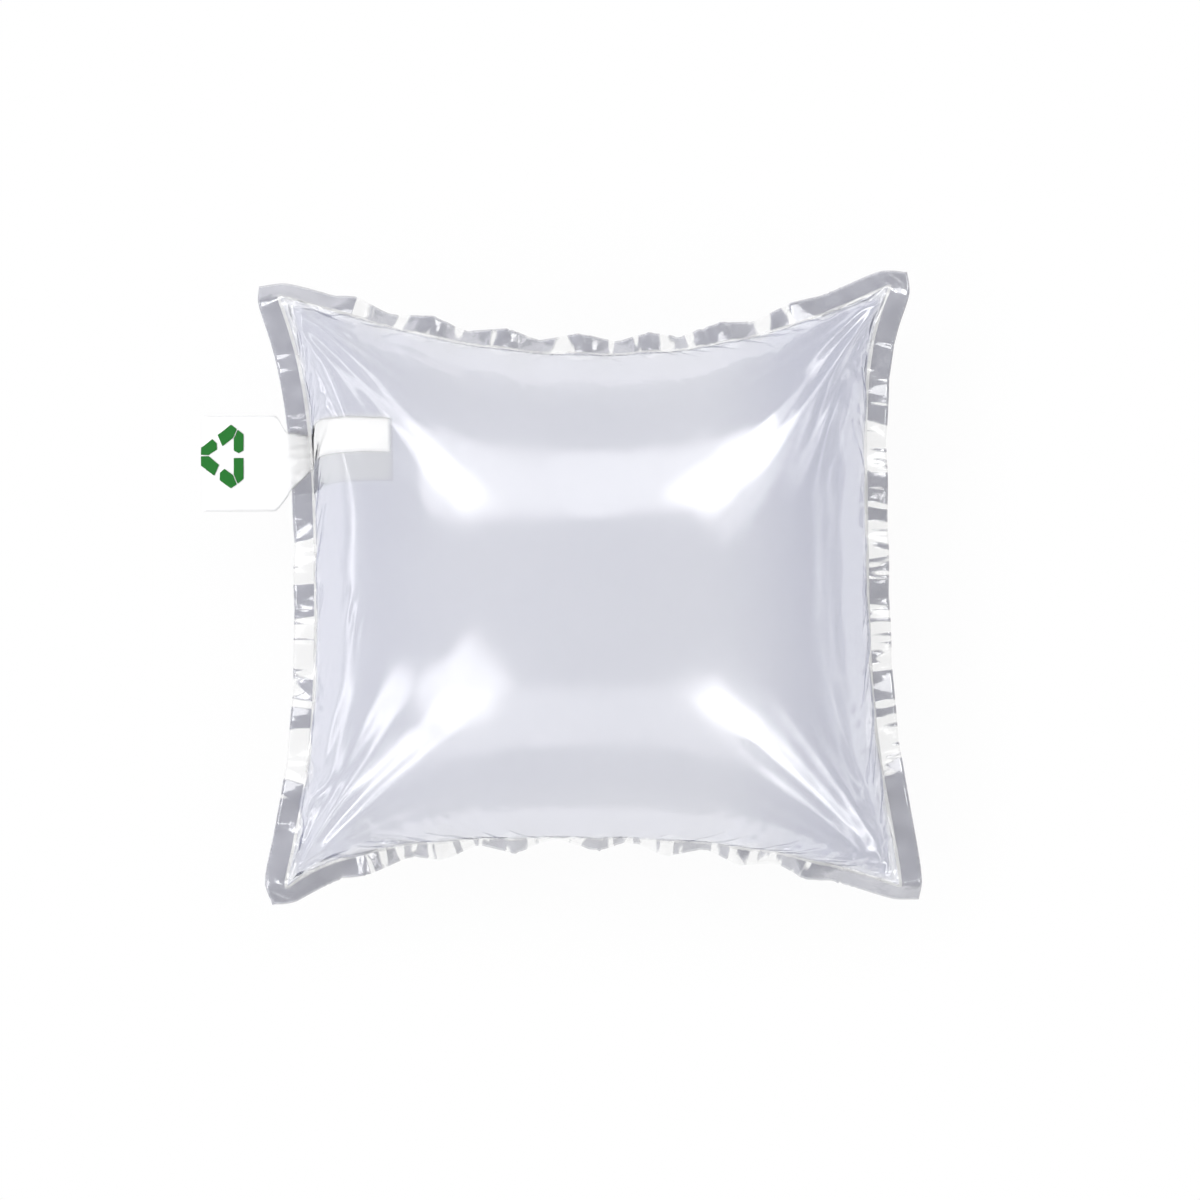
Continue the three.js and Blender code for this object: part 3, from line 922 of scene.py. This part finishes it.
def valve_half_width(p):
    """Half the valve's width along p: the sleeve's, and over the shoulder it grows to the tab's."""
    return SLEEVE_WIDTH / 2 * mix(1, TAB_WIDTH / SLEEVE_WIDTH, smooth(-WELD_WIDTH - p, 0, SHOULDER))


def valve_films(front):
    """The valve's two films, hazy but where the coat lies between them."""
    materials = [valve_film(), inner_skin()]
    p, q = np.meshgrid(
        np.linspace(VALVE_END, SLEEVE_LENGTH, VALVE_STEPS + 1), np.linspace(-1, 1, VALVE_COLUMNS + 1)
    )
    shares = {"haze": 1 - over_coat(p, q * valve_half_width(p))}
    for name, ply in (("valve_front_film", 1), ("valve_back_film", 2)):
        sheet = sheet_mesh("clear_" + name, on_valve(front, p, q, ply), False, materials, None, shares)
        piece = thicken(sheet, FILM)
        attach(piece, "root")
        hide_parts(name)


# The white coat keeps the valve's two films from welding along the way of the air: the whole tab, a
# neck across the weld, and a channel on one side of the sleeve.

COAT_PLY = 1.25  # just under the valve's front film
COAT = 0.06
COAT_LENGTH = 55  # inside the chamber
FUNNEL = (-12, -1)  # from where to where the coat narrows
NECK = (-3.5, 10.5)  # its lower and upper edge in the neck, off the valve's centreline
CHANNEL = (-1.6, 12.8)
CHANNEL_FROM = 9
COAT_STEPS = 90
COAT_COLUMNS = 24


def coat_edges(p):
    """The coat's lower and upper edge off the valve's centreline: straight lines from the tab's full
    width to the neck, then a slow widening into the channel."""
    narrowed = np.clip((p - FUNNEL[0]) / (FUNNEL[1] - FUNNEL[0]), 0, 1)
    in_channel = smooth(p, FUNNEL[1], CHANNEL_FROM)
    return [
        mix(mix(side * valve_half_width(p), neck, narrowed), channel, in_channel)
        for side, neck, channel in zip((-1, 1), NECK, CHANNEL)
    ]


def coat(front):
    """A strip between the coat's two edges."""
    p, s = np.meshgrid(
        np.linspace(VALVE_END, COAT_LENGTH, COAT_STEPS + 1), np.linspace(0, 1, COAT_COLUMNS + 1)
    )
    q = np.clip(mix(*coat_edges(p), s) / valve_half_width(p), -1, 1)
    sheet = sheet_mesh("valve_coat", on_valve(front, p, q, COAT_PLY), False, [white_coat()])
    piece = thicken(sheet, COAT)
    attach(piece, "root")


# A sign of three bent arrows that chase each other, printed on the tab. Each arrow is bent round a
# corner of a triangle: its head runs on to the middle of the next side, where another's tail begins.

SIGN_OUT = 27.7  # its middle, off the welded band and off the valve's centreline
SIGN_UP = 3.1
SIGN_SIZE = (11.5, 15.2)  # from its middle to the triangle's corners, across and up
SIGN_PLY = 0.7
SIGN_STEPS = 16

# Shares of SIGN_SIZE
SIDE_FROM_MIDDLE = 0.5
STROKE = 0.18  # half the width of an arrow's strip
HALF_GAP = 0.07  # between a head and the next tail
CORNER_GAP = 0.035
CORNER_END = 0.86
CORNER_CUT = 0.22
POINT = 0.09


def arrow_part(front, side, head):
    """A strip along half a side of the triangle, from its middle (s is 0) to a corner (s is 1), and t
    from its inner edge to its outer one. It ends along the corner's bisector, cut back at the outer
    edge, and a head is pointed at the middle."""
    s, t = np.meshgrid(np.linspace(0, 1, 2 * SIGN_STEPS + 1), np.linspace(-1, 1, SIGN_STEPS + 1))
    foot = HALF_GAP + (POINT * np.abs(t) if head else 0)
    across = SIDE_FROM_MIDDLE + STROKE * t
    tip = np.minimum(across * math.sqrt(3) - CORNER_GAP, CORNER_END - CORNER_CUT * (t + 1) / 2)
    along = mix(foot, tip, s) * (1 if head else -1)
    turn = math.radians(120 * side)
    right = across * math.cos(turn) - along * math.sin(turn)
    up = across * math.sin(turn) + along * math.cos(turn)
    p = -WELD_WIDTH - SIGN_OUT + SIGN_SIZE[0] * right
    points = on_valve(front, p, (SIGN_UP + SIGN_SIZE[1] * up) / (TAB_WIDTH / 2), SIGN_PLY)
    return points if head else points[:, ::-1]


def arrow_sign(front):
    """The six strips of the sign: a head and a tail on each side of the triangle."""
    ink = green_ink()
    for side in range(3):
        for name, head in (("sign_head", True), ("sign_tail", False)):
            sheet = sheet_mesh(f"{name}_{side + 1}", arrow_part(front, side, head), False, [ink])
            piece = thicken(sheet, COAT)
            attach(piece, "root")


# Camera and light

FIELD = 504  # the width of the view at the height of the weld
MIDDLE_OF_VIEW = (5.5, -4.2)
CAMERA_ABOVE_WELD = 1500
SENSOR = 36
FARTHEST_SEEN = 100  # metres
LAMP_DISTANCE = 1.4  # metres


def camera():
    """Looks straight down on the bag, from far enough that it shows square."""
    view = bpy.data.cameras.new("camera")
    view.sensor_width = SENSOR
    view.lens = SENSOR * CAMERA_ABOVE_WELD / FIELD
    view.clip_end = FARTHEST_SEEN
    piece = bpy.data.objects.new("camera", view)
    x, y = MIDDLE_OF_VIEW
    piece.location = (x * MM, y * MM, (WELD_LEVEL + CAMERA_ABOVE_WELD) * MM)
    bpy.context.collection.objects.link(piece)
    bpy.context.scene.camera = piece


def softbox(name, tilt, turn, width, length, radiance, mirrored=True):
    """A rectangle of even light that faces the bag. tilt is its angle off the vertical and turn its
    direction in plan, from +X towards +Y, in degrees. width and length are in metres, and length lies
    along the tilt."""
    lamp = bpy.data.lights.new(name, "AREA")
    lamp.shape = "RECTANGLE"
    lamp.size, lamp.size_y = width, length
    lamp.energy = radiance * math.pi * width * length
    tilt, turn = math.radians(tilt), math.radians(turn)
    towards = Vector((math.sin(tilt) * math.cos(turn), math.sin(tilt) * math.sin(turn), math.cos(tilt)))
    piece = bpy.data.objects.new(name, lamp)
    piece.location = towards * LAMP_DISTANCE + Vector((0, 0, WELD_LEVEL * MM))
    piece.rotation_euler = towards.to_track_quat("Z", "Y").to_euler()
    piece.visible_glossy = mirrored
    bpy.context.collection.objects.link(piece)


def lights():
    """Lamps whose mirrored shapes are the highlights of the film, and a fill from the left, which is not
    mirrored, for the valve.
    """
    softbox("upper_left", 39, 137, 0.27, 0.30, 2.8)
    softbox("upper_right", 43, 49, 0.34, 0.52, 2.3)
    softbox("lower_left", 38, 218, 0.46, 0.46, 2.8)
    softbox("lower_left_window", 56, 203, 0.16, 0.34, 3.2)
    softbox("lower_left_pane", 58, 224, 0.20, 0.34, 2.8)
    softbox("lower_right", 46, 314, 0.26, 0.62, 3.3)
    softbox("upper_right_strip", 74, 47, 0.24, 0.62, 2.8)
    softbox("lower_right_strip", 72, 316, 0.08, 0.60, 2.4)
    softbox("lower_left_strip", 76, 219, 0.34, 0.50, 3.0)
    softbox("top_panel", 34, 96, 1.90, 0.56, 1.8)
    softbox("left_strip", 80, 180, 1.30, 0.08, 3.0)
    softbox("right_strip", 70, 0, 1.10, 0.08, 0.9)
    softbox("left_fill", 52, 168, 1.00, 1.00, 2.9, mirrored=False)


def is_seen(material):
    """1 for rays that show the background: straight from the camera, mirrored or through glass."""
    path = add(material, "LightPath").outputs
    straight_or_mirrored = combine(material, "MAXIMUM", path["Is Camera Ray"], path["Is Glossy Ray"])
    return combine(material, "MAXIMUM", straight_or_mirrored, path["Is Transmission Ray"])


SKY = 0.28
SKY_LOW = 0.52  # at the horizon
SKY_EVEN_FROM = 0.4  # the height of the direction above which the sky is even


def world():
    """Pale light from all round, brighter towards the horizon, where it meets the floor."""
    sky = bpy.data.worlds.new("studio")
    bpy.context.scene.world = sky
    sky.use_nodes = True
    background = sky.node_tree.nodes["Background"]
    background.inputs["Color"].default_value = (1, 1, 1, 1)
    direction = add(sky, "SeparateXYZ", Vector=add(sky, "TexCoord").outputs["Generated"])
    strength = spread(sky, direction.outputs["Z"], (0, SKY_EVEN_FROM), (SKY_LOW, SKY))
    sky.node_tree.links.new(strength, background.inputs["Strength"])


FLOOR_SIZE = 60  # metres
PAPER_WHITE = (0.9, 0.9, 0.9, 1)
FLOOR_OWN_WHITE = 0.93  # near the bag, where the rest is paper that takes its soft shadow
SHADOW_REACH = (0.02, 0.075)  # metres from the bag's outline within which its shadow fades out


def floor():
    """A wide pale floor: plain white to the camera, with a share of matt paper round the bag. How far a
    place lies from the bag is its distance from a rectangle of the bag's two chords."""
    material = bpy.data.materials.new("studio_floor")
    material.use_nodes = True
    material.node_tree.nodes.clear()
    nowhere = (0, 0, 0)
    bag_edge = (HALF_CHORD_X * MM, HALF_CHORD_Y * MM, 0)
    place = add(material, "TexCoord").outputs["Object"]
    aside = combine(material, "ABSOLUTE", place, nowhere, "VectorMath")
    beyond = combine(material, "SUBTRACT", aside, bag_edge, "VectorMath")
    beyond = combine(material, "MAXIMUM", beyond, nowhere, "VectorMath")
    distance = combine(material, "DISTANCE", beyond, nowhere, "VectorMath", "Value")
    own_white = spread(material, distance, SHADOW_REACH, (FLOOR_OWN_WHITE, 1))
    paper = add(material, "BsdfDiffuse", Color=PAPER_WHITE)
    white = add(material, "Emission", Strength=1)
    blend = add(material, "MixShader", Fac=combine(material, "MULTIPLY", is_seen(material), own_white))
    material.node_tree.links.new(paper.outputs[0], blend.inputs[1])
    material.node_tree.links.new(white.outputs[0], blend.inputs[2])
    add(material, "OutputMaterial", Surface=blend.outputs[0])
    half = FLOOR_SIZE / 2
    corners = [(-half, -half, 0), (half, -half, 0), (half, half, 0), (-half, half, 0)]
    mesh = bpy.data.meshes.new("floor")
    mesh.from_pydata(corners, [], [(0, 1, 2, 3)])
    mesh.materials.append(material)
    piece = bpy.data.objects.new("floor", mesh)
    bpy.context.collection.objects.link(piece)


# Putting it together

bpy.context.scene.view_settings.view_transform = "Standard"
camera()
world()
floor()
lights()
net_a, net_b, bag = filled_films()
bag_films(bag, net_a, net_b)
valve_films(bag[0])
coat(bag[0])
arrow_sign(bag[0])
